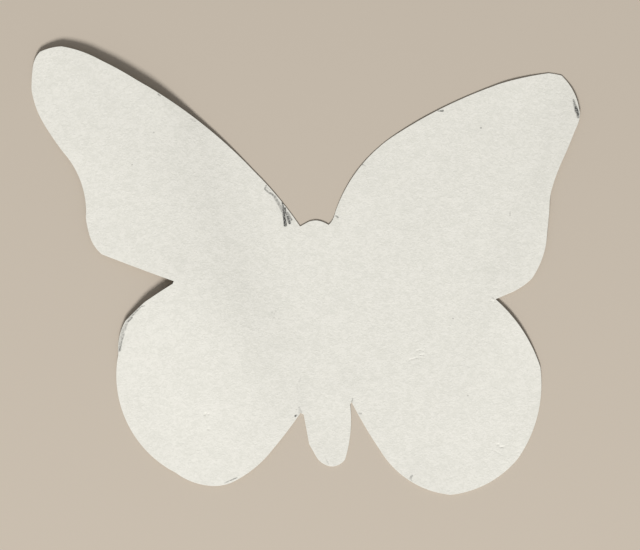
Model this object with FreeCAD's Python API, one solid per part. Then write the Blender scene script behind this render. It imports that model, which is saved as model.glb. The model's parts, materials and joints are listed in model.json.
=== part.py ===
import FreeCAD, Part
import math
import os

# A butterfly cut by hand with scissors from one sheet of white card.
#
# Millimetres. +Z is up and Z = 0 is the table that the sheet lies on. The Y axis is the body line,
# from the tail (-Y) to the head (+Y), and +X is to the right, seen from above. The origin is on the
# body line, half way between the top of the head and the gaps beside the tail.
#
# The sheet was cut flat and has since curled a little. It lies flat on the table along the body.
# Under the left wings it stands in a low arch that comes down again at the wings' outer edges,
# and under the outer right wings in a much lower one.

# --- Driving dimensions ---------------------------------------------------------------------------

THICKNESS = 0.3

# Reach of the wings and the tail from the body line and from the X axis
LEFT_REACH = 95.6
RIGHT_REACH = 94.2
LEFT_FOREWING_RISE = 99.4
RIGHT_FOREWING_RISE = 79.3
LEFT_HINDWING_DROP = 56.7
RIGHT_HINDWING_DROP = 65.1
TAIL_DROP = 52.6

# A wing tip has two corners. Its front one is this far inside the reach, and its back one this far
# below the rise.
LEFT_TIP_INSET = 11.6
LEFT_TIP_FALL = 14.4
RIGHT_TIP_INSET = 9.7
RIGHT_TIP_FALL = 16.4

# The other corners where one cut ends and the next begins, as (X, Y)
HEAD_LEFT = (-5.3, 31.6)
HEAD_RIGHT = (4.6, 31.5)
RIGHT_HEEL = (79.5, 19.0)
RIGHT_WAIST = (61.0, 1.9)
RIGHT_TAIL_GAP = (8.7, -30.8)
LEFT_TAIL_GAP = (-9.4, -33.3)
LEFT_WAIST = (-50.3, 15.4)
LEFT_HEEL = (-78.3, 31.9)

# Where the lowest point of each hindwing and of the tail lies, across from the body line
LEFT_LOBE_FOOT_X = -41.0
RIGHT_LOBE_FOOT_X = 41.0
TAIL_END_X = 0.5

# Three gaps end in a short cross cut, not in a point: (X, Y) from one of its ends to the other
RIGHT_TAIL_GAP_FLOOR = (-0.6, -0.5)
LEFT_TAIL_GAP_FLOOR = (1.1, -0.6)
LEFT_WAIST_FLOOR = (-0.5, -0.9)

# Each cut is a chain of arcs from one corner to the next. An arc is given by its far end and its
# bow: (share of the way along the straight line between the corners, distance of the end outside
# that line, distance that the arc bulges outside its own two ends). Outside is away from the card.
HEAD_CUT = [(0.21, 1.0, 0), (0.79, 1.2, 0.7), (1, 0, 0)]
RIGHT_LEADING_CUT = [(0.03, 1.0, -0.2), (0.37, 12.6, 2.8), (0.84, 6.2, 1.5), (1, 0, 0.3)]
RIGHT_TIP_CUT = [(0.17, 3.3, 0.1), (0.86, 1.7, 1.1), (1, 0, 0.2)]
RIGHT_OUTER_CUT = [(0.38, -2.3, 0.2), (0.60, -3.0, -0.2), (1, 0, 0.1)]
RIGHT_HEEL_CUT = [(0.45, 4.2, 0.6), (0.75, 2.7, 0.3), (1, 0, 0)]
RIGHT_LOBE_CUT = [(0.28, 20.5, 1.9), (0.75, 20.0, 3.1), (1, 0, 2.6)]
RIGHT_INNER_CUT = [(0.60, 5.5, 3.4), (1, 0, 0.3)]
STRAIGHT_CUT = [(1, 0, 0)]
TAIL_RIGHT_CUT = [(0.37, 2.6, 0), (0.84, 3.6, 0.3), (1, 0, 0.6)]
TAIL_LEFT_CUT = [(0.25, 3.2, 0.7), (0.52, 3.3, 0), (1, 0, 0)]
LEFT_INNER_CUT = [(0.39, 3.4, 0.2), (0.82, 3.4, 0.9), (1, 0, 0.5)]
LEFT_LOBE_CUT = [(0.10, 12.2, 1.1), (0.72, 23.5, 7.7), (0.87, 18.7, 0.9), (0.94, 10.8, 0.1), (1, 0, 0.1)]
LEFT_HEEL_CUT = [(0.82, 3.0, 0.1), (1, 0, 0.4)]
LEFT_OUTER_CUT = [(0.13, -1.1, 0.2), (0.56, -2.4, -2.4), (0.78, 0.4, 0.2), (1, 0, 0.6)]
LEFT_TIP_CUT = [(0.40, 4.5, 0.2), (0.68, 5.2, 0.4), (1, 0, 0.4)]
LEFT_LEADING_CUT = [(0.13, 4.3, 0.6), (0.27, 6.4, 0.2), (0.77, 5.6, 2.0), (1, 0, 0.6)]

# The scissors ran on into the card at the gap to the right of the tail: (X, Y) from the gap to the
# end of this snip, and the snip's width where it leaves the gap
SNIP_RUN = (0.4, 1.1)
SNIP_WIDTH = 0.15

# Arch under the left wings. Its bend lines lean outwards from the body line towards the head.
# Distances are measured square to the bend lines, outwards from the origin.
LEFT_BEND_LEAN = 12.0
LEFT_LIFT_OFF = 6.0
LEFT_CROWN_DISTANCE = 44.0
LEFT_CROWN_HEIGHT = 3.4

# Arch under the right wings
RIGHT_BEND_LEAN = 25.0
RIGHT_LIFT_OFF = 44.0
RIGHT_CROWN_DISTANCE = 61.0
RIGHT_CROWN_HEIGHT = 1.0

# --- Worked out from them -------------------------------------------------------------------------

# Longer than any line across the sheet, for slabs and blocks that pass right over it
CLEAR_OF_SHEET = LEFT_REACH + RIGHT_REACH + LEFT_FOREWING_RISE + RIGHT_HINDWING_DROP

# How far an arch's curve is carried on past its foot, for the outline to trim, as a share of its fall
TRIM_ALLOWANCE = 0.1

UP = FreeCAD.Vector(0, 0, 1)
ORIGIN = FreeCAD.Vector(0, 0, 0)


def moved(corner, step):
    """The corner moved by a step, both as (X, Y)."""
    return (corner[0] + step[0], corner[1] + step[1])


RIGHT_TIP_FRONT = (RIGHT_REACH - RIGHT_TIP_INSET, RIGHT_FOREWING_RISE)
RIGHT_TIP_BACK = (RIGHT_REACH, RIGHT_FOREWING_RISE - RIGHT_TIP_FALL)
LEFT_TIP_FRONT = (LEFT_TIP_INSET - LEFT_REACH, LEFT_FOREWING_RISE)
LEFT_TIP_BACK = (-LEFT_REACH, LEFT_FOREWING_RISE - LEFT_TIP_FALL)
RIGHT_LOBE_FOOT = (RIGHT_LOBE_FOOT_X, -RIGHT_HINDWING_DROP)
LEFT_LOBE_FOOT = (LEFT_LOBE_FOOT_X, -LEFT_HINDWING_DROP)
TAIL_END = (TAIL_END_X, -TAIL_DROP)
TAIL_RIGHT_ROOT = moved(RIGHT_TAIL_GAP, RIGHT_TAIL_GAP_FLOOR)
TAIL_LEFT_ROOT = moved(LEFT_TAIL_GAP, LEFT_TAIL_GAP_FLOOR)
LEFT_WAIST_LOW = moved(LEFT_WAIST, LEFT_WAIST_FLOOR)

# Each arch as (heading in degrees from +X, lift-off distance, crown distance, crown height)
LEFT_ARCH = (180 + LEFT_BEND_LEAN, LEFT_LIFT_OFF, LEFT_CROWN_DISTANCE, LEFT_CROWN_HEIGHT)
RIGHT_ARCH = (-RIGHT_BEND_LEAN, RIGHT_LIFT_OFF, RIGHT_CROWN_DISTANCE, RIGHT_CROWN_HEIGHT)


def outline_cuts():
    """The cuts in order, clockwise seen from above: (first corner, last corner, arcs)."""
    return [
        (HEAD_LEFT, HEAD_RIGHT, HEAD_CUT),
        (HEAD_RIGHT, RIGHT_TIP_FRONT, RIGHT_LEADING_CUT),
        (RIGHT_TIP_FRONT, RIGHT_TIP_BACK, RIGHT_TIP_CUT),
        (RIGHT_TIP_BACK, RIGHT_HEEL, RIGHT_OUTER_CUT),
        (RIGHT_HEEL, RIGHT_WAIST, RIGHT_HEEL_CUT),
        (RIGHT_WAIST, RIGHT_LOBE_FOOT, RIGHT_LOBE_CUT),
        (RIGHT_LOBE_FOOT, RIGHT_TAIL_GAP, RIGHT_INNER_CUT),
        (RIGHT_TAIL_GAP, TAIL_RIGHT_ROOT, STRAIGHT_CUT),
        (TAIL_RIGHT_ROOT, TAIL_END, TAIL_RIGHT_CUT),
        (TAIL_END, TAIL_LEFT_ROOT, TAIL_LEFT_CUT),
        (TAIL_LEFT_ROOT, LEFT_TAIL_GAP, STRAIGHT_CUT),
        (LEFT_TAIL_GAP, LEFT_LOBE_FOOT, LEFT_INNER_CUT),
        (LEFT_LOBE_FOOT, LEFT_WAIST_LOW, LEFT_LOBE_CUT),
        (LEFT_WAIST_LOW, LEFT_WAIST, STRAIGHT_CUT),
        (LEFT_WAIST, LEFT_HEEL, LEFT_HEEL_CUT),
        (LEFT_HEEL, LEFT_TIP_BACK, LEFT_OUTER_CUT),
        (LEFT_TIP_BACK, LEFT_TIP_FRONT, LEFT_TIP_CUT),
        (LEFT_TIP_FRONT, HEAD_LEFT, LEFT_LEADING_CUT),
    ]


def arc_or_line(start, end, bow):
    """The edge from start to end that bulges by bow to the left of the way it runs."""
    if bow == 0:
        return Part.makeLine(start, end)
    outwards = UP.cross(end - start).normalize()
    middle = (start + end) * 0.5 + outwards * bow
    return Part.Arc(start, middle, end).toShape()


def cut_edges(first_corner, last_corner, arcs):
    """The chain of edges that the scissors left between two corners."""
    first = FreeCAD.Vector(first_corner[0], first_corner[1], 0)
    last = FreeCAD.Vector(last_corner[0], last_corner[1], 0)
    outwards = UP.cross(last - first).normalize()
    edges = []
    start = first
    for share, standoff, bow in arcs:
        end = first + (last - first) * share + outwards * standoff
        edges.append(arc_or_line(start, end, bow))
        start = end
    return edges


def outline_face():
    """The butterfly's outline, flat on the table."""
    edges = []
    for first_corner, last_corner, arcs in outline_cuts():
        edges.extend(cut_edges(first_corner, last_corner, arcs))
    return Part.Face(Part.Wire(edges))


def snip():
    """The thin wedge that the scissors' last bite left open, pointing from the gap to the head."""
    gap = FreeCAD.Vector(RIGHT_TAIL_GAP[0], RIGHT_TAIL_GAP[1], 0)
    half_width = FreeCAD.Vector(SNIP_WIDTH / 2, 0, 0)
    tip = gap + FreeCAD.Vector(SNIP_RUN[0], SNIP_RUN[1], 0)
    mouth_left = gap - half_width
    mouth_right = gap + half_width
    # The mouth is carried on towards the tail, so that the wedge opens into the gap
    back = FreeCAD.Vector(0, -SNIP_WIDTH, 0)
    corners = [mouth_left, tip, mouth_right, mouth_right + back, mouth_left + back, mouth_left]
    return Part.Face(Part.makePolygon(corners))


def turned_outwards(shape, heading):
    """The shape turned about Z, so that what pointed along +X points along the heading."""
    turned = shape.copy()
    turned.rotate(ORIGIN, UP, heading)
    return turned


def reach_along(face, heading):
    """How far the outline reaches from the origin along a heading in degrees."""
    return turned_outwards(face, -heading).optimalBoundingBox(False, False).XMax


def arc_about(centre_x, centre_z, radius, first_angle, last_angle):
    """An arc in the XZ plane about a centre, from one angle to another, in radians from +X."""
    points = []
    for angle in (first_angle, (first_angle + last_angle) / 2, last_angle):
        x = centre_x + radius * math.cos(angle)
        z = centre_z + radius * math.sin(angle)
        points.append(FreeCAD.Vector(x, 0, z))
    return Part.Arc(points[0], points[1], points[2]).toShape()


def curve_ends(edges):
    """The first and the last point of a chain of edges."""
    return edges[0].valueAt(edges[0].FirstParameter), edges[-1].valueAt(edges[-1].LastParameter)


def arch_curve(lift_off, crown_distance, crown_height, foot_distance, offset):
    """The arch's curve in the XZ plane, offset outwards from the card's underside.

    It leaves the table at lift_off, turns over to level at the crown and comes down to the table
    at foot_distance. Its three arcs meet in line with each other, and it runs on a little past the
    foot, where the outline ends.
    """
    rise_run = crown_distance - lift_off
    slope = 2 * math.atan(crown_height / rise_run)
    rise_radius = rise_run / math.sin(slope) / 2
    fall_run = foot_distance - crown_distance
    fall_radius = (fall_run ** 2 + crown_height ** 2) / (2 * crown_height)
    foot_slope = math.asin(fall_run / fall_radius)
    quarter = math.pi / 2
    hollow = arc_about(lift_off, rise_radius, rise_radius - offset, -quarter, slope - quarter)
    shoulder = arc_about(
        crown_distance, crown_height - rise_radius, rise_radius + offset, quarter + slope, quarter)
    fall = arc_about(
        crown_distance, crown_height - fall_radius, fall_radius + offset,
        quarter, quarter - (1 + TRIM_ALLOWANCE) * foot_slope)
    return [hollow, shoulder, fall]


def arched_slab(lift_off, crown_distance, crown_height, foot_distance):
    """Card of full thickness, arched along +X, from its lift-off line to a little past its foot."""
    below = arch_curve(lift_off, crown_distance, crown_height, foot_distance, 0)
    above = arch_curve(lift_off, crown_distance, crown_height, foot_distance, THICKNESS)
    below_start, below_end = curve_ends(below)
    above_start, above_end = curve_ends(above)
    outer_end = Part.makeLine(below_end, above_end)
    inner_end = Part.makeLine(above_start, below_start)
    section = Part.Face(Part.Wire(below + [outer_end] + above[::-1] + [inner_end]))
    section.translate(FreeCAD.Vector(0, -CLEAR_OF_SHEET, 0))
    return section.extrude(FreeCAD.Vector(0, 2 * CLEAR_OF_SHEET, 0))


def lifted_region(lift_off):
    """A block over all that lies beyond a lift-off line square to +X."""
    corner = FreeCAD.Vector(lift_off, -CLEAR_OF_SHEET, -CLEAR_OF_SHEET)
    return Part.makeBox(CLEAR_OF_SHEET, 2 * CLEAR_OF_SHEET, 2 * CLEAR_OF_SHEET, corner)


def outline_prism(outline):
    """The outline as a block that passes right through the sheet, arches and all."""
    block = outline.copy()
    block.translate(UP * -CLEAR_OF_SHEET)
    return block.extrude(UP * 2 * CLEAR_OF_SHEET)


def paper_butterfly():
    """The one sheet: flat along the body and arched under the wings on both sides."""
    outline = outline_face().cut(snip())
    prism = outline_prism(outline)
    sheet = outline.extrude(UP * THICKNESS)
    arched_wings = []
    for heading, lift_off, crown_distance, crown_height in (LEFT_ARCH, RIGHT_ARCH):
        foot_distance = reach_along(outline, heading)
        slab = arched_slab(lift_off, crown_distance, crown_height, foot_distance)
        arched_wings.append(turned_outwards(slab, heading).common(prism))
        sheet = sheet.cut(turned_outwards(lifted_region(lift_off), heading))
    return sheet.fuse(arched_wings).removeSplitter()


def write_step(shape, node):
    """Writes one node and prints its size, to be read after a change."""
    os.makedirs("parts", exist_ok=True)
    shape.exportStep("parts/" + node + ".step")
    box = shape.optimalBoundingBox(False, False)
    print(node, len(shape.Solids), "solid, valid:", shape.isValid())
    print("size", round(box.XLength, 2), round(box.YLength, 2), round(box.ZLength, 2))
    print("lowest point", round(box.ZMin, 4), "volume", round(shape.Volume, 1))


def main():
    write_step(paper_butterfly(), "paper_butterfly")


main()
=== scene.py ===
import json
import math

import bmesh
import bpy
import numpy as np
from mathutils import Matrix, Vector, geometry
from mathutils.kdtree import KDTree


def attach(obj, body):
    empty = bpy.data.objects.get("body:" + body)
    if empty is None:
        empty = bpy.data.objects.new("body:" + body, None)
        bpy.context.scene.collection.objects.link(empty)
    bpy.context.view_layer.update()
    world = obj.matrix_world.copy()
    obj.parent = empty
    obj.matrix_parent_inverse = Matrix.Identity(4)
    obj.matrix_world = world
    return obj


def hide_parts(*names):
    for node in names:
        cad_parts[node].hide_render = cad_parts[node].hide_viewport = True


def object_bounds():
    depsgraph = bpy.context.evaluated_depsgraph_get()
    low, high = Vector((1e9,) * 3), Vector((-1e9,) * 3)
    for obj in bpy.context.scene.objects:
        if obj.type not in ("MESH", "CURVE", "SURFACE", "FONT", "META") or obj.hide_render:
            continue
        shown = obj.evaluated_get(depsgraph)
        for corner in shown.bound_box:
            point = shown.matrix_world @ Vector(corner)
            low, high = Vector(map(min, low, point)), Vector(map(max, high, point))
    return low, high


# A butterfly cut by hand with scissors from one sheet of white card, lying on a pale table.
#
# The card is one mesh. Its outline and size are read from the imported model, and its arches are the
# model's, only lower over the hindwings. The mesh is fine enough for the arches to be smooth and for
# the dents to be real. Lengths are in millimetres until a mesh, lamp or camera is made, and x, y and z
# are the model's own axes.

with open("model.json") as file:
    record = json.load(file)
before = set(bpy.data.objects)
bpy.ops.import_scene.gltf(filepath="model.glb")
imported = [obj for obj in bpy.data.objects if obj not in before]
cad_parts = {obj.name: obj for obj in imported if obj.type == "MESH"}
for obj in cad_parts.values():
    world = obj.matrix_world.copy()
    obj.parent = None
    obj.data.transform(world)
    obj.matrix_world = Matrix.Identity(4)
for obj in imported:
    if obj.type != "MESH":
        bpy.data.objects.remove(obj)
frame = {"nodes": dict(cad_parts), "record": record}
cad_low, cad_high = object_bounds()

MM = 0.001
NODE = "paper_butterfly"

# --- The sheet ------------------------------------------------------------------------------------

THICKNESS = 0.3

# Each arch as in the model: heading in degrees from +X, then the distances of its lift-off line and
# its crown from the origin along that heading, and the crown's height. It ends at the outline.
ARCHES = [(192, 6.0, 44.0, 3.4), (-25, 44.0, 61.0, 1.0)]

# The hindwings have sagged. Below this y the arches get lower, to this share of their height.
SAG_FROM = 12
SAGGED_SHARE = 0.2

# The sheet is not quite even: low waves all over it, a slight lift along its cut edges, and a much
# finer relief on its upper face. Each is a sum of plane waves, with its shortest and longest length.
WAVE_HEIGHT = 0.05
WAVE_LENGTHS = (28, 75)
EDGE_LIFT = 0.16
EDGE_LIFT_LENGTHS = (14, 45)
EDGE_LIFT_REACH = 9
RELIEF_HEIGHT = 0.0022
RELIEF_LENGTHS = (2.4, 7.0)
WAVE_COUNT = 14
RELIEF_COUNT = 90
WAVE_SEED, EDGE_LIFT_SEED, RELIEF_SEED = 3, 4, 5

# How much the height of the waves and of the lift varies, as a share of itself
UNEVENNESS = 0.5

# The scissors rounded the rims over by this much. The rounding is two steps, the first this part of it.
RIM_ROUNDING = 0.04
ROUNDED_PART = 0.3

# Dents pressed into the upper face: (path, half width, depth)
DENTS = [
    # A finger nail's prints on the right hindwing
    ([(29.8, -17.3), (31.3, -16.9), (32.4, -16.7)], 0.30, 0.10),
    ([(32.2, -16.7), (35.1, -16.9)], 0.26, 0.045),
    ([(33.6, -15.8), (34.7, -15.8)], 0.28, 0.12),
    ([(32.6, -14.2), (33.8, -14.0)], 0.28, 0.07),
    ([(34.6, -14.3), (34.7, -14.5)], 0.28, 0.09),
    # Strains that run up into the card from the gaps beside the tail
    ([(-8.8, -32.5), (-8.1, -22.0)], 1.4, 0.02),
    ([(8.3, -30.0), (7.6, -22.5)], 1.4, 0.02),
    # Small nicks
    ([(58.3, -48.7), (58.8, -48.7)], 0.32, 0.14),
    ([(59.4, -49.6), (60.3, -49.6)], 0.36, 0.15),
    ([(57.2, -50.8), (59.7, -52.5)], 0.28, 0.03),
    ([(59.2, 1.4), (59.5, 1.5)], 0.26, 0.05),
    ([(-42.3, -31.2), (-42.6, -31.7)], 0.38, 0.22),
    ([(-41.4, -31.5), (-41.1, -31.5)], 0.30, 0.10),
    ([(-41.8, -36.7), (-41.4, -36.8)], 0.38, 0.13),
    # A burr that stands up, where the cut ends between the right wings
    ([(60.0, 2.1), (60.2, 1.8)], 0.34, -0.20),
]

# --- Marks on the face ----------------------------------------------------------------------------

# Pencil strokes left from drawing round the pattern, and three lines of painted shade along fine
# grooves: (path, half width at its two ends, darkness at its two ends). Darkness 1 hides the card.
STROKES_AND_GROOVE_SHADE = [
    # The scribble at the root of the left forewing
    ([(-16.2, 46.5), (-16.7, 45.4), (-15.6, 44.2), (-14.3, 43.4), (-13.5, 42.5)], 0.28, 0.34, 0.50, 0.62),
    ([(-16.1, 46.2), (-15.4, 45.4), (-14.9, 44.8)], 0.20, 0.20, 0.20, 0.25),
    ([(-13.5, 42.5), (-12.2, 40.0), (-11.4, 38.1), (-10.8, 36.8)], 0.52, 0.50, 0.40, 0.45),
    ([(-10.9, 40.2), (-10.7, 38.4)], 0.30, 0.34, 0.95, 0.75),
    ([(-10.7, 38.4), (-10.7, 36.3), (-10.5, 34.3), (-10.4, 32.4)], 0.36, 0.54, 0.80, 1.00),
    ([(-10.1, 38.3), (-10.0, 36.8), (-9.6, 35.7)], 0.26, 0.34, 1.00, 0.60),
    ([(-9.6, 35.7), (-8.9, 33.1)], 0.40, 0.46, 0.60, 1.00),
    ([(-9.4, 36.6), (-8.2, 34.1)], 0.38, 0.42, 0.50, 0.52),
    # Along the outer edge of the left hindwing: a pale band, with darker lines in it
    ([(-63.1, 7.4), (-66.6, 3.6), (-69.0, -0.3), (-70.3, -4.1), (-70.9, -7.4)], 0.40, 0.58, 0.26, 0.32),
    ([(-62.5, 7.1), (-65.4, 4.5)], 0.22, 0.28, 0.45, 0.50),
    ([(-65.7, 3.7), (-67.1, 2.5)], 0.30, 0.30, 0.60, 0.60),
    ([(-67.4, 2.0), (-68.4, -0.5)], 0.24, 0.24, 0.40, 0.35),
    ([(-68.8, -1.7), (-69.9, -4.4), (-70.8, -7.4)], 0.24, 0.32, 0.42, 0.65),
    ([(-62.1, 7.4), (-61.0, 7.5)], 0.18, 0.14, 0.60, 0.35),
    # Beside the right forewing's tip
    ([(92.5, 69.4), (93.0, 67.2), (93.3, 65.7)], 0.28, 0.64, 0.50, 0.85),
    ([(93.3, 65.7), (93.7, 64.6), (93.8, 63.3)], 0.64, 0.46, 0.90, 0.60),
    # Short touches elsewhere along the edges
    ([(45.2, 68.6), (46.9, 68.6)], 0.18, 0.34, 0.40, 0.85),
    ([(7.4, 34.5), (8.0, 33.9)], 0.26, 0.30, 0.40, 0.55),
    ([(17.8, 51.7), (18.9, 51.1)], 0.24, 0.18, 0.45, 0.20),
    ([(-40.9, 71.4), (-39.4, 70.4)], 0.25, 0.25, 0.18, 0.22),
    ([(-51.5, 80.5), (-50.9, 80.0)], 0.22, 0.20, 0.50, 0.45),
    ([(-37.3, -55.9), (-34.4, -54.8), (-33.0, -54.3)], 0.14, 0.19, 0.30, 0.70),
    ([(28.0, -57.6), (27.4, -58.4)], 0.36, 0.38, 0.38, 0.42),
    ([(27.5, -58.8), (27.7, -59.1)], 0.20, 0.20, 0.30, 0.30),
    ([(-1.8, -49.1), (-1.4, -50.3), (-0.8, -51.6)], 0.20, 0.20, 0.08, 0.20),
    # Round the tops of the gaps beside the tail
    ([(11.0, -34.8), (11.8, -34.9)], 0.26, 0.26, 0.35, 0.35),
    ([(8.7, -30.6), (9.1, -29.5)], 0.20, 0.16, 0.55, 0.40),
    ([(-11.2, -34.2), (-10.9, -34.0)], 0.32, 0.32, 0.85, 0.75),
    ([(-9.5, -32.0), (-9.4, -32.9)], 0.38, 0.60, 0.17, 0.25),
    # Fine scratches, which are faint. The first three are painted shade: dark lines where grooves
    # pressed into the card lie in shade. The last is a fine mark.
    ([(-9.9, -25.1), (-9.8, -23.0)], 0.16, 0.16, 0.07, 0.09),
    ([(-9.1, -22.3), (-8.4, -21.0)], 0.20, 0.16, 0.14, 0.12),
    ([(57.3, -50.9), (59.7, -52.6)], 0.20, 0.16, 0.10, 0.10),
    ([(68.0, 31.9), (67.9, 30.6)], 0.15, 0.15, 0.32, 0.32),
]

# A mark fades out at this many times its half width
MARK_FADES_AT = 1.5

# Dark flecks in the card, all of one size: (x, y, darkness)
FLECKS = [
    (-53.9, 67.4, 0.3), (-62.1, 56.7, 0.3), (59.8, 61.8, 0.5), (45.8, -3.9, 0.4), (49.2, -31.0, 0.25),
    (-9.7, -31.3, 0.2), (-10.7, -32.0, 0.2), (-16.3, 1.8, 0.19), (-17.0, 2.4, 0.17), (-15.6, 2.7, 0.12),
    (-16.4, 0.5, 0.14), (-14.9, 0.0, 0.12),
]
FLECK_RADIUS = 0.28

# Faint soiling, and painted shade along the strains beside the tail: (path, half width, strength)
SMUDGES_AND_STRAIN_SHADE = [
    ([(-17.6, 1.9), (-15.9, 1.7)], 1.6, 0.8),
    # These two are painted shade, darker along the strains that run up from the gaps beside the tail
    ([(-9.6, -32.0), (-8.6, -22.0)], 2.4, 0.6),
    ([(8.6, -30.5), (7.8, -23.0)], 2.4, 0.5),
    ([(3.6, -37.0), (5.0, -37.6)], 1.8, 0.6),
    ([(-12.6, 39.0), (-9.0, 34.0)], 2.6, 0.6),
    ([(-65.0, 3.0), (-69.5, -6.0)], 1.8, 0.6),
    ([(29.5, -19.5), (33.5, -18.8)], 2.2, 0.5),
]

# --- Mesh sizes -----------------------------------------------------------------------------------

# Points nearer to each other than this are one point
WELD = 0.001

# The model's outline: what faces down more steeply than this is its underside, points nearer than
# this add nothing to its shape, and a sharper turn than this is a corner
UNDERSIDE_NORMAL = -0.5
CLOSEST_RIM_POINTS = 0.1
CORNER_TURN = math.radians(13)

# The steps between the mesh's points: along the rim, over each face, and round marks and dents, where
# the finer mesh reaches this far past them
RIM_STEP = 0.5
TOP_GRID = 0.8
UNDERSIDE_GRID = 1.6
FINE_GRID = 0.16
FINE_MARGIN = 0.45

# What Blender's triangulation takes to mean triangles inside the outline only
INSIDE_ONLY = 1

# --- Camera and light -----------------------------------------------------------------------------

# The camera stands over the card's middle, moved aside by the offset. Its view is this many times as
# wide as the card.
CAMERA_HEIGHT = 1200
CAMERA_TURN = math.radians(-3.7)
CAMERA_OFFSET = (1.1, -2.9)
VIEW_WIDTHS = 1.1738
SENSOR_WIDTH = 36
CLIP_NEAR = 10
CLIP_FAR = 100000

FLOOR_SIZE = 6000
FLOOR_DROP = 0.02

KEY_DISTANCE = 3200
KEY_ELEVATION = math.radians(44)
KEY_AZIMUTH = math.radians(-100)
KEY_SIZE = 960
KEY_WATTS = 104
SKY_STRENGTH = 0.30

# --- Bake map -------------------------------------------------------------------------------------

# Where the card's surface lies on its square bake map: the upper face at the foot, the cut edge
# as a narrow band over it, and the underside at the top in two halves, each lying on its side.
# Sizes are in steps of the map, and the scales in steps a millimetre.
MAP_NAME = "OFBake"
MAP_STEPS = 1024
MAP_MARGIN = 6
UPPER_FACE_SCALE = 4.8
UNDERSIDE_SCALE = 2.05
EDGE_BAND = 10

# --- Materials ------------------------------------------------------------------------------------

CARD_COLOUR = tuple(frame["record"]["materials"][0]["base_color"])
CLOUD_COLOUR = (0.745, 0.73, 0.66)
# The colour of pencil and flecks, also used for the painted shade along grooves
DARK_MARK_AND_GROOVE_SHADE_COLOUR = (0.055, 0.055, 0.052)
# The colour of the smudges, also used for the painted shade along the strains beside the tail
SOIL_AND_SHADE_COLOUR = (0.60, 0.59, 0.54)
EDGE_COLOUR = (0.84, 0.82, 0.76)
FLOOR_COLOUR = (0.56, 0.49, 0.405)

# The card's tooth is fibres and flocks, and its colour follows them and wider clouds. The shares are
# how much of the flocks and clouds is added to the fibres.
FIBRE_SIZE = 0.85
FLOCK_SIZE = 2.0
FLOCK_SHARE = 0.6
CLOUD_SIZE = 5
CLOUD_SHARE = 0.45
TOOTH_DEPTH = 0.1
TOOTH_SPAN = (0.6, 1.2)
CLOUDY_SPAN = (0.8, 1.25)
CARD_ROUGHNESS = (0.82, 0.95)
CARD_SPECULAR = 0.3

# Most of a noise's values lie in this span
NOISE_SPAN = (0.3, 0.7)

# Graphite catches on the tooth: it comes out paler or darker by these factors, from grain to grain.
# It is also glossier than the card.
GRAPHITE_GRAIN = 0.5
GRAPHITE_CAUGHT = (0.6, 1.5)
GRAPHITE_GLOSS = 0.35

# How much of the card's colour the smudges and the painted strain shade hide, from patch to patch
SOIL_AND_SHADE_PATCH = 1.4
SOIL_AND_SHADE_COVER = (0.05, 0.16)

# The cut edge shows the sheet's layers as lines along it
LAYER_SIZE = 0.8
LAYER_SQUEEZE = (1.2, 1.2, 14)
LAYER_DEPTH = 0.02
EDGE_ROUGHNESS = (0.85, 0.97)

FLOOR_ROUGHNESS = 0.9
FLOOR_SPECULAR = 0.2

# The Mix node's sockets for colours: share, first and second colour, and result
MIX_INPUTS = (0, 6, 7)
MIX_RESULT = 2


# --- Outline --------------------------------------------------------------------------------------

def model_rim():
    """The outline of the model's underside: a closed loop of (x, y), anticlockwise from above."""
    model = bmesh.new()
    model.from_mesh(frame["nodes"][NODE].data)
    bmesh.ops.remove_doubles(model, verts=model.verts, dist=WELD * MM)
    model.normal_update()
    joined = {}
    for edge in model.edges:
        slopes = [face.normal.z for face in edge.link_faces]
        if min(slopes) < UNDERSIDE_NORMAL < max(slopes):
            first, second = edge.verts
            joined.setdefault(first, []).append(second)
            joined.setdefault(second, []).append(first)
    start = next(iter(joined))
    loop = [start, joined[start][0]]
    while loop[-1] is not start:
        onward = [vert for vert in joined[loop[-1]] if vert is not loop[-2]]
        loop.append(onward[0])
    points = np.array([vert.co.xy for vert in loop[1:]]) / MM
    model.free()
    return points if signed_area(points) > 0 else points[::-1]


def signed_area(points):
    """The area inside a closed loop, positive if it runs anticlockwise."""
    x, y = points.T
    return 0.5 * float(np.sum(x * np.roll(y, -1) - y * np.roll(x, -1)))


def without_close_points(points):
    """The loop without points that nearly touch the one before them."""
    gaps = np.linalg.norm(points - np.roll(points, 1, axis=0), axis=1)
    return points[gaps > CLOSEST_RIM_POINTS]


def smooth_rim(points):
    """The loop with its facets turned back into the curves that they stand for.

    A curve's direction at a point is that of the circle through it and its two neighbours. Corners
    stay sharp: there, each side runs on as an even arc of its own.
    """
    chords = np.roll(points, -1, axis=0) - points
    lengths = np.linalg.norm(chords, axis=1)
    ways = chords / lengths[:, None]
    ways_in = np.roll(ways, 1, axis=0)
    lengths_in = np.roll(lengths, 1)
    tangents = ways_in * lengths[:, None] + ways * lengths_in[:, None]
    tangents /= np.linalg.norm(tangents, axis=1)[:, None]
    turns = np.arccos(np.clip(np.sum(ways_in * ways, axis=1), -1, 1))
    corner = turns > CORNER_TURN
    curve = []
    for i, start in enumerate(points):
        j = (i + 1) % len(points)
        leaving = run_on(ways[i], tangents[j], corner[j]) if corner[i] else tangents[i]
        arriving = run_on(ways[i], tangents[i], corner[i]) if corner[j] else tangents[j]
        steps = max(1, round(lengths[i] / RIM_STEP))
        for s in np.arange(steps) / steps:
            curve.append(
                start + chords[i] * (3 - 2 * s) * s ** 2
                + lengths[i] * (leaving * s * (1 - s) ** 2 - arriving * s ** 2 * (1 - s)))
    return np.array(curve)


def run_on(way, far_tangent, far_is_corner):
    """The direction of an even arc at the end of a chord, from its direction at the chord's far end."""
    if far_is_corner:
        return way
    return 2 * np.dot(way, far_tangent) * way - far_tangent


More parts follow.
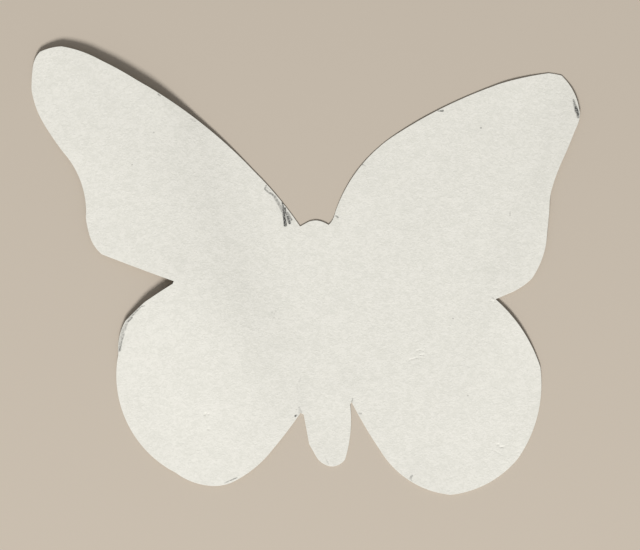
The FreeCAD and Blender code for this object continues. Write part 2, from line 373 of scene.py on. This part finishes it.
def inset(rim, distance):
    """The loop moved into the card by a distance."""
    ahead = np.roll(rim, -1, axis=0) - rim
    ahead /= np.linalg.norm(ahead, axis=1)[:, None]
    along = ahead + np.roll(ahead, 1, axis=0)
    along /= np.maximum(np.linalg.norm(along, axis=1)[:, None], WELD)
    return rim + distance * np.column_stack([-along[:, 1], along[:, 0]])


# --- Heights --------------------------------------------------------------------------------------

def arch_height(distance, lift_off, crown, height, foot):
    """The arch's height over the table: two even arcs up to the crown, and one down to its foot."""
    half_run = (crown - lift_off) / 2
    slope = 2 * math.atan(height / half_run / 2)
    rise_radius = half_run / math.sin(slope)
    fall_radius = ((foot - crown) ** 2 + height ** 2) / height / 2
    hollow = rise_radius - across_circle(rise_radius, distance - lift_off, half_run)
    shoulder = height - rise_radius + across_circle(rise_radius, crown - distance, half_run)
    fall = height - fall_radius + across_circle(fall_radius, distance - crown, foot - crown)
    before = [distance < crown - half_run, distance < crown]
    return np.maximum(np.select(before, [hollow, shoulder], fall), 0)


def across_circle(radius, run, longest_run):
    """How far a circle still reaches at a run out from its centre."""
    return np.sqrt(radius ** 2 - np.clip(run, 0, longest_run) ** 2)


def kept_height(y, lowest_y):
    """The share of an arch's height that is left where the hindwings have sagged."""
    sagged = ease((SAG_FROM - y) / (SAG_FROM - lowest_y))
    return 1 - (1 - SAGGED_SHARE) * sagged


def ease(share):
    """A share carried smoothly from 0 to 1, and held at its ends."""
    share = np.clip(share, 0, 1)
    return share ** 2 * (3 - 2 * share)


def waves(points, lengths, count, seed):
    """A smooth random field of spread 1, the sum of plane waves of random heading and length."""
    draws = np.random.default_rng(seed)
    field = np.zeros(len(points))
    for _ in range(count):
        heading = draws.uniform(0, 2 * math.pi)
        turns = points @ (math.cos(heading), math.sin(heading)) / draws.uniform(*lengths)
        field += np.sin(2 * math.pi * (turns + draws.uniform()))
    return field * math.sqrt(2 / count)


def uneven(points, lengths, seed):
    """A factor that wanders about 1 in waves, and is never negative."""
    return (1 + UNEVENNESS * waves(points, lengths, WAVE_COUNT, seed)).clip(0)


def bell(share):
    """1 at 0, falling smoothly on both sides, and to a third at 1."""
    return np.exp(-share ** 2)


def nearest_on_path(points, path):
    """Each point's distance from a path of straight runs, and how far along it that is, 0 to 1."""
    distance = np.full(len(points), np.inf)
    share = np.zeros(len(points))
    corners = np.array(path, float)
    runs = np.linalg.norm(np.diff(corners, axis=0), axis=1)
    passed = 0
    for start, end, run in zip(corners, corners[1:], runs):
        along = np.clip((points - start) @ (end - start) / run ** 2, 0, 1)
        off = np.linalg.norm(points - start - along[:, None] * (end - start), axis=1)
        closer = off < distance
        distance = np.where(closer, off, distance)
        share = np.where(closer, (passed + along * run) / runs.sum(), share)
        passed += run
    return distance, share


def underside_height(points, rim):
    """How high the sheet's underside stands over the table."""
    height = WAVE_HEIGHT * uneven(points, WAVE_LENGTHS, WAVE_SEED)
    near_edge = bell(distances_from(rim, points) / EDGE_LIFT_REACH)
    height += EDGE_LIFT * near_edge * uneven(points, EDGE_LIFT_LENGTHS, EDGE_LIFT_SEED)
    kept = kept_height(points[:, 1], rim[:, 1].min())
    for heading, lift_off, crown, crown_height in ARCHES:
        outwards = (math.cos(math.radians(heading)), math.sin(math.radians(heading)))
        foot = float((rim @ outwards).max())
        height += kept * arch_height(points @ outwards, lift_off, crown, crown_height, foot)
    return height


def face_height(points, rim):
    """How high the sheet's upper face stands, with its dents and its fine relief."""
    height = underside_height(points, rim) + THICKNESS
    height += RELIEF_HEIGHT * waves(points, RELIEF_LENGTHS, RELIEF_COUNT, RELIEF_SEED)
    for path, half_width, depth in DENTS:
        distance, _ = nearest_on_path(points, path)
        height -= depth * bell(distance / half_width)
    return height


# --- Marks ----------------------------------------------------------------------------------------

def dark_marks_and_groove_shade(points):
    """How much pencil, fleck or painted groove shade darkens each point, from 0 to 1."""
    dark = np.zeros(len(points))
    for path, first_width, last_width, first_darkness, last_darkness in STROKES_AND_GROOVE_SHADE:
        distance, share = nearest_on_path(points, path)
        half_width = first_width + (last_width - first_width) * share
        darkness = first_darkness + (last_darkness - first_darkness) * share
        dark = np.maximum(dark, darkness * soft_edge(distance / half_width))
    for x, y, darkness in FLECKS:
        distance = np.linalg.norm(points - (x, y), axis=1)
        dark = np.maximum(dark, darkness * soft_edge(distance / FLECK_RADIUS))
    return dark


def soft_edge(share):
    """1 in the middle of a mark, falling smoothly to 0 round its edge, which is at a share of 1."""
    return ease(MARK_FADES_AT - share)


def soiling_and_strain_shade(points):
    """How smudged each point is, or darkened by painted shade along the strains, from 0 to 1."""
    soiled_and_shaded = np.zeros(len(points))
    for path, half_width, strength in SMUDGES_AND_STRAIN_SHADE:
        distance, _ = nearest_on_path(points, path)
        soiled_and_shaded = np.maximum(soiled_and_shaded, strength * bell(distance / half_width))
    return soiled_and_shaded


# --- Mesh -----------------------------------------------------------------------------------------

def lattice(low, high, step):
    """An even triangular lattice of points over a rectangle, always at the same places."""
    row_step = step * math.sqrt(3) / 2
    rows = np.arange(math.floor(low[1] / row_step), math.ceil(high[1] / row_step) + 1)
    columns = np.arange(math.floor(low[0] / step), math.ceil(high[0] / step) + 1)
    column, row = np.meshgrid(columns, rows)
    x = (column + (row % 2) / 2) * step
    return np.column_stack([x.ravel(), (row * row_step).ravel()])


def inside(points, rim):
    """Which points lie inside the outline."""
    x, y = points.T
    within = np.zeros(len(points), bool)
    for (x0, y0), (x1, y1) in zip(rim, np.roll(rim, -1, axis=0)):
        if y0 != y1:
            crossed = (y0 > y) != (y1 > y)
            within ^= crossed & (x < x0 + (y - y0) * (x1 - x0) / (y1 - y0))
    return within


def distances_from(places, points):
    """How far each point is from the nearest of the places."""
    tree = KDTree(len(places))
    for i, (x, y) in enumerate(places):
        tree.insert((x, y, 0), i)
    tree.balance()
    return np.array([tree.find((x, y, 0))[2] for x, y in points])


def grid_inside(rim, step):
    """Lattice points inside the outline, none of them close to it."""
    points = lattice(rim.min(axis=0), rim.max(axis=0), step)
    points = points[inside(points, rim)]
    return points[distances_from(rim, points) > step / 2]


def fine_points(rim):
    """Extra points round each mark and dent, so that its shape is crisp."""
    areas = [(stroke[0], max(stroke[1:3])) for stroke in STROKES_AND_GROOVE_SHADE]
    areas += [(dent[0], dent[1]) for dent in DENTS]
    areas += [([(x, y), (x + WELD, y)], FLECK_RADIUS) for x, y, _ in FLECKS]
    found = []
    for path, half_width in areas:
        reach = half_width * MARK_FADES_AT + FINE_MARGIN
        corners = np.array(path)
        points = lattice(corners.min(axis=0) - reach, corners.max(axis=0) + reach, FINE_GRID)
        distance, _ = nearest_on_path(points, path)
        found.append(points[distance < reach])
    points = np.unique(np.round(np.vstack(found), 6), axis=0)
    points = points[inside(points, rim)]
    return points[distances_from(rim, points) > FINE_GRID / 2]


def face_points(rim):
    """All points inside the outline that the upper face has."""
    fine = fine_points(rim)
    coarse = grid_inside(rim, TOP_GRID)
    coarse = coarse[distances_from(fine, coarse) > TOP_GRID / 2]
    return np.vstack([fine, coarse])


def triangles(rim, points):
    """Triangles over the area inside the outline, through its own points and the given ones."""
    flat = [Vector(point) for point in np.vstack([rim, points])]
    outline = [list(range(len(rim)))]
    made = geometry.delaunay_2d_cdt(flat, [], outline, INSIDE_ONLY, WELD * WELD)
    _, _, faces, sources, _, _ = made
    return [[sources[corner][0] for corner in face] for face in faces]


def strip(first_ring, second_ring, count):
    """Faces that join two rings of points, given the index of each ring's first point."""
    faces = []
    for i in range(count):
        j = (i + 1) % count
        faces.append([first_ring + i, first_ring + j, second_ring + j, second_ring + i])
    return faces


def edge_rings(rim):
    """The rings down the cut edge between the two faces, each as (outline, share of thickness)."""
    slight = RIM_ROUNDING * ROUNDED_PART
    return [
        (inset(rim, slight), 1 - slight / THICKNESS),
        (rim, 1 - RIM_ROUNDING / THICKNESS),
        (rim, RIM_ROUNDING / THICKNESS),
        (inset(rim, slight), slight / THICKNESS),
    ]


def card_mesh():
    """The whole card: upper face, underside and the cut edge between them."""
    rim = smooth_rim(without_close_points(model_rim()))
    face_rim = inset(rim, RIM_ROUNDING)
    top = face_points(rim)
    below = grid_inside(rim, UNDERSIDE_GRID)
    count = len(rim)

    flat_top = np.vstack([face_rim, top])
    flat_below = np.vstack([face_rim, below])
    parts = [np.column_stack([flat_top, face_height(flat_top, rim)])]
    for ring, share in edge_rings(rim):
        level = underside_height(ring, rim) + THICKNESS * share
        parts.append(np.column_stack([ring, level]))
    parts.append(np.column_stack([flat_below, underside_height(flat_below, rim)]))

    starts = np.cumsum([0] + [len(part) for part in parts])
    top_faces = triangles(face_rim, top)
    under_faces = [[starts[-2] + i for i in face[::-1]] for face in triangles(face_rim, below)]
    edge_faces = []
    for upper, lower in zip(starts[:-2], starts[1:-1]):
        edge_faces += strip(lower, upper, count)
    return np.vstack(parts), [top_faces, edge_faces, under_faces], rim


def map_places(points, face_groups, rim):
    """Where each corner of each face lies on the bake map, in the order of the faces."""
    places = points[:, :2]
    low, high = places.min(axis=0), places.max(axis=0)
    upper_faces, edge_faces, under_faces = face_groups
    upper = MAP_MARGIN + (places[upper_faces] - low) * UPPER_FACE_SCALE
    foot = 2 * MAP_MARGIN + (high[1] - low[1]) * UPPER_FACE_SCALE
    edge = edge_band(rim, len(edge_faces) // len(rim)) + (0, foot)
    foot += EDGE_BAND + MAP_MARGIN
    under = underside_halves(places[under_faces], low, high) + (0, foot)
    return np.vstack([corners.reshape(-1, 2) for corners in (upper, edge, under)]) / MAP_STEPS


def edge_band(rim, strips):
    """The cut edge unrolled along the map, with its strips of faces one over another."""
    lengths = np.linalg.norm(np.roll(rim, -1, axis=0) - rim, axis=1)
    shares = np.concatenate([[0], np.cumsum(lengths)]) / lengths.sum()
    along = MAP_MARGIN + shares * (MAP_STEPS - 2 * MAP_MARGIN)
    height = EDGE_BAND / strips
    rows = []
    for row in range(strips):
        lower = np.column_stack([along, np.full(len(along), (strips - 1 - row) * height)])
        upper = lower + (0, height)
        rows.append(np.stack([lower[:-1], lower[1:], upper[1:], upper[:-1]], axis=1))
    return np.vstack(rows)


def underside_halves(corners, low, high):
    """The left and right half of the underside side by side, each lying on its side."""
    middle = (low[0] + high[0]) / 2
    on_right = corners[:, :, :1].mean(axis=1, keepdims=True) > middle
    foot = np.where(on_right, middle - UNDERSIDE_GRID, low[0])
    start = MAP_MARGIN + on_right * ((high[1] - low[1]) * UNDERSIDE_SCALE + MAP_MARGIN)
    along = start + (corners[:, :, 1:] - low[1]) * UNDERSIDE_SCALE
    return np.concatenate([along, (corners[:, :, :1] - foot) * UNDERSIDE_SCALE], axis=2)


def card():
    """The card as an object, with a material for each face and one for the cut edge."""
    points, face_groups, rim = card_mesh()
    faces = [face for group in face_groups for face in group]
    mesh = bpy.data.meshes.new("cut_card")
    mesh.from_pydata((points * MM).tolist(), [], faces)
    slots = np.repeat(np.arange(len(face_groups)), [len(group) for group in face_groups])
    mesh.polygons.foreach_set("material_index", slots.astype(np.int32))
    mesh.polygons.foreach_set("use_smooth", np.ones(len(faces), bool))
    places = map_places(points, face_groups, rim)
    mesh.uv_layers.new(name=MAP_NAME).data.foreach_set("uv", places.astype(np.float32).ravel())
    # Pencil marks and smudges, with the painted shade along grooves and strains, kept on the mesh's
    # points
    for name, value in (("dark_marks_and_groove_shade", dark_marks_and_groove_shade), ("soiling_and_strain_shade", soiling_and_strain_shade)):
        layer = mesh.attributes.new(name, "FLOAT", "POINT")
        layer.data.foreach_set("value", value(points[:, :2]).astype(np.float32))
    mesh.materials.append(card_material("card_face", marked=True))
    mesh.materials.append(edge_material())
    mesh.materials.append(card_material("card_underside", marked=False))
    mesh.validate()
    sharpen_rims(mesh)
    return new_object("cut_card", mesh)


def new_object(name, data):
    """An object in the scene, made of the given mesh, lamp or camera."""
    made = bpy.data.objects.new(name, data)
    bpy.context.scene.collection.objects.link(made)
    return made


def sharpen_rims(mesh):
    """Marks the line where each face meets the cut edge, so that the faces stay flat up to it."""
    bm = bmesh.new()
    bm.from_mesh(mesh)
    for edge in bm.edges:
        kinds = {face.material_index for face in edge.link_faces}
        edge.smooth = len(kinds) == 1
    bm.to_mesh(mesh)
    bm.free()


# --- Materials ------------------------------------------------------------------------------------

def add_node(tree, kind, inputs=None, **settings):
    """A shader node. Each input is a value, or a socket that is joined to it."""
    made = tree.nodes.new("ShaderNode" + kind)
    for name, value in settings.items():
        setattr(made, name, value)
    for name, value in (inputs or {}).items():
        if isinstance(value, bpy.types.NodeSocket):
            tree.links.new(value, made.inputs[name])
        else:
            made.inputs[name].default_value = value
    return made


def maths(tree, operation, *values):
    """The result of a Math node."""
    return add_node(tree, "Math", dict(enumerate(values)), operation=operation).outputs[0]


def ramp(tree, value, span, result_span=(0, 1)):
    """A value carried smoothly from one span to another, and held at its ends."""
    ends = dict(zip(("From Min", "From Max", "To Min", "To Max"), (*span, *result_span)))
    made = add_node(tree, "MapRange", {"Value": value, **ends}, interpolation_type="SMOOTHSTEP")
    return made.outputs["Result"]


def mix_colours(tree, share, first, second):
    """The second colour over the first one, by a share."""
    made = add_node(tree, "Mix", data_type="RGBA")
    for socket, value in zip(MIX_INPUTS, (share, first, second)):
        if isinstance(value, bpy.types.NodeSocket):
            tree.links.new(value, made.inputs[socket])
        else:
            made.inputs[socket].default_value = (*value, 1)
    return made.outputs[MIX_RESULT]


def place_in_mm(tree):
    """Where a point lies on the object, in millimetres."""
    place = add_node(tree, "TexCoord").outputs["Object"]
    scaled = add_node(tree, "VectorMath", {0: place, "Scale": 1 / MM}, operation="SCALE")
    return scaled.outputs["Vector"]


def noise(tree, place, size, detail=3, roughness=0.55, curl=0):
    """Noise whose coarsest shapes are about size millimetres across, curled round as fibres are."""
    inputs = {
        "Vector": place, "Scale": 1 / size, "Detail": detail, "Roughness": roughness, "Distortion": curl}
    return add_node(tree, "TexNoise", inputs).outputs["Fac"]


def new_material(name):
    """A material with its tree and its Principled shader."""
    material = bpy.data.materials.new(name)
    material.use_nodes = True
    tree = material.node_tree
    return material, tree, tree.nodes["Principled BSDF"]


def dress(tree, shader, colour, roughness, relief, depth):
    """Gives a shader its colour, its roughness and a relief of a depth in millimetres."""
    bump = add_node(tree, "Bump", {"Height": relief, "Strength": 1, "Distance": depth * MM})
    tree.links.new(colour, shader.inputs["Base Color"])
    tree.links.new(roughness, shader.inputs["Roughness"])
    tree.links.new(bump.outputs["Normal"], shader.inputs["Normal"])


def paper_tooth(tree, place):
    """The uneven surface of uncoated card: matted fibres, felted together in small flocks."""
    fibres = noise(tree, place, FIBRE_SIZE, detail=1, roughness=0.7, curl=1)
    flocks = noise(tree, place, FLOCK_SIZE, detail=1, curl=0.8)
    return maths(tree, "MULTIPLY_ADD", flocks, FLOCK_SHARE, fibres)


def card_material(name, marked):
    """White uncoated card, with pencil marks, smudges and painted shade along grooves and strains if it
    is marked.
    """
    material, tree, shader = new_material(name)
    place = place_in_mm(tree)
    tooth = paper_tooth(tree, place)
    clouds = noise(tree, place, CLOUD_SIZE, detail=2)
    cloudy = maths(tree, "MULTIPLY_ADD", clouds, CLOUD_SHARE, tooth)
    colour = mix_colours(tree, ramp(tree, cloudy, CLOUDY_SPAN), CLOUD_COLOUR, CARD_COLOUR)
    roughness = ramp(tree, tooth, TOOTH_SPAN, CARD_ROUGHNESS)
    if marked:
        # Smudges, with painted shade along the strains beside the tail
        colour = soiled_and_shaded(tree, place, colour)
        # Pencil and flecks, with painted shade along grooves, in one dark colour
        covered = dark_mark_and_groove_shade_cover(tree, place)
        colour = mix_colours(tree, covered, colour, DARK_MARK_AND_GROOVE_SHADE_COLOUR)
        roughness = maths(tree, "MULTIPLY_ADD", covered, -GRAPHITE_GLOSS, roughness)
    dress(tree, shader, colour, roughness, tooth, TOOTH_DEPTH)
    shader.inputs["Specular IOR Level"].default_value = CARD_SPECULAR
    return material


def soiled_and_shaded(tree, place, colour):
    """The colour with faint grey smudges and painted strain shade over it, patchy as a rubbed smudge is.
    """
    amount = add_node(tree, "Attribute", attribute_name="soiling_and_strain_shade").outputs["Fac"]
    patchy = ramp(tree, noise(tree, place, SOIL_AND_SHADE_PATCH), NOISE_SPAN, SOIL_AND_SHADE_COVER)
    return mix_colours(tree, maths(tree, "MULTIPLY", amount, patchy), colour, SOIL_AND_SHADE_COLOUR)


def dark_mark_and_groove_shade_cover(tree, place):
    """How much of the face pencil and painted groove shade hide: they catch on the tooth, so that their
    strokes are grainy.
    """
    dark = add_node(tree, "Attribute", attribute_name="dark_marks_and_groove_shade").outputs["Fac"]
    caught = ramp(tree, noise(tree, place, GRAPHITE_GRAIN, detail=2), NOISE_SPAN, GRAPHITE_CAUGHT)
    return maths(tree, "MINIMUM", maths(tree, "MULTIPLY", dark, caught), 1)


def edge_material():
    """The cut edge: bare matted fibre, in faint lines along the sheet."""
    material, tree, shader = new_material("card_cut_edge")
    place = place_in_mm(tree)
    squeezed = add_node(tree, "VectorMath", {0: place, 1: LAYER_SQUEEZE}, operation="MULTIPLY")
    layers = noise(tree, squeezed.outputs["Vector"], LAYER_SIZE)
    colour = mix_colours(tree, ramp(tree, layers, NOISE_SPAN), EDGE_COLOUR, CLOUD_COLOUR)
    roughness = ramp(tree, layers, NOISE_SPAN, EDGE_ROUGHNESS)
    dress(tree, shader, colour, roughness, layers, LAYER_DEPTH)
    return material


def floor_material():
    """A plain matt table."""
    material, _, shader = new_material("pale_table")
    shader.inputs["Base Color"].default_value = (*FLOOR_COLOUR, 1)
    shader.inputs["Roughness"].default_value = FLOOR_ROUGHNESS
    shader.inputs["Specular IOR Level"].default_value = FLOOR_SPECULAR
    return material


# --- Scene ----------------------------------------------------------------------------------------

def middle_of(low, high):
    """The middle of the object's box, on the table, in millimetres."""
    return Vector(((low.x + high.x) / 2, (low.y + high.y) / 2, 0)) / MM


def make_floor():
    """The table top."""
    half = FLOOR_SIZE / 2 * MM
    level = cad_low.z - FLOOR_DROP * MM
    mesh = bpy.data.meshes.new("floor")
    corners = [(-half, -half, level), (half, -half, level), (half, half, level), (-half, half, level)]
    mesh.from_pydata(corners, [], [[0, 1, 2, 3]])
    mesh.materials.append(floor_material())
    new_object("floor", mesh)


def make_camera(middle):
    """A camera that looks straight down, turned a little about its own axis."""
    lens = bpy.data.cameras.new("camera")
    lens.sensor_width = SENSOR_WIDTH
    width = (cad_high.x - cad_low.x) / MM * VIEW_WIDTHS
    lens.lens = SENSOR_WIDTH * CAMERA_HEIGHT / width
    lens.clip_start = CLIP_NEAR * MM
    lens.clip_end = CLIP_FAR * MM
    camera = new_object("camera", lens)
    camera.location = (middle + Vector((*CAMERA_OFFSET, CAMERA_HEIGHT))) * MM
    camera.rotation_euler = (0, 0, CAMERA_TURN)
    bpy.context.scene.camera = camera


def make_key_light(middle):
    """A soft lamp on the tail's side, half way up."""
    lamp = bpy.data.lights.new("key", "AREA")
    lamp.shape = "DISK"
    lamp.size = KEY_SIZE * MM
    lamp.energy = KEY_WATTS
    key = new_object("key", lamp)
    level = math.cos(KEY_ELEVATION)
    towards = Vector((
        level * math.cos(KEY_AZIMUTH), level * math.sin(KEY_AZIMUTH), math.sin(KEY_ELEVATION)))
    key.location = (middle + towards * KEY_DISTANCE) * MM
    key.rotation_euler = towards.to_track_quat("Z", "Y").to_euler()
    key.visible_camera = False


def make_sky():
    """Even white light from all round. To the camera it shows the table's colour instead."""
    world = bpy.data.worlds.new("studio")
    world.use_nodes = True
    tree = world.node_tree
    tree.nodes.clear()
    light = add_node(tree, "Background", {"Color": (1, 1, 1, 1), "Strength": SKY_STRENGTH})
    wall = add_node(tree, "Background", {"Color": (*FLOOR_COLOUR, 1), "Strength": 1})
    seen = add_node(tree, "LightPath").outputs["Is Camera Ray"]
    mixed = add_node(tree, "MixShader", {0: seen, 1: light.outputs[0], 2: wall.outputs[0]})
    add_node(tree, "OutputWorld", {"Surface": mixed.outputs[0]})
    bpy.context.scene.world = world


def build():
    """Makes the card, the table, the light and the camera."""
    middle = middle_of(cad_low, cad_high)
    make_camera(middle)
    make_floor()
    make_key_light(middle)
    make_sky()
    piece = card()
    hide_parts(NODE)
    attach(piece, "root")
    bpy.context.scene.view_settings.view_transform = "Standard"


build()
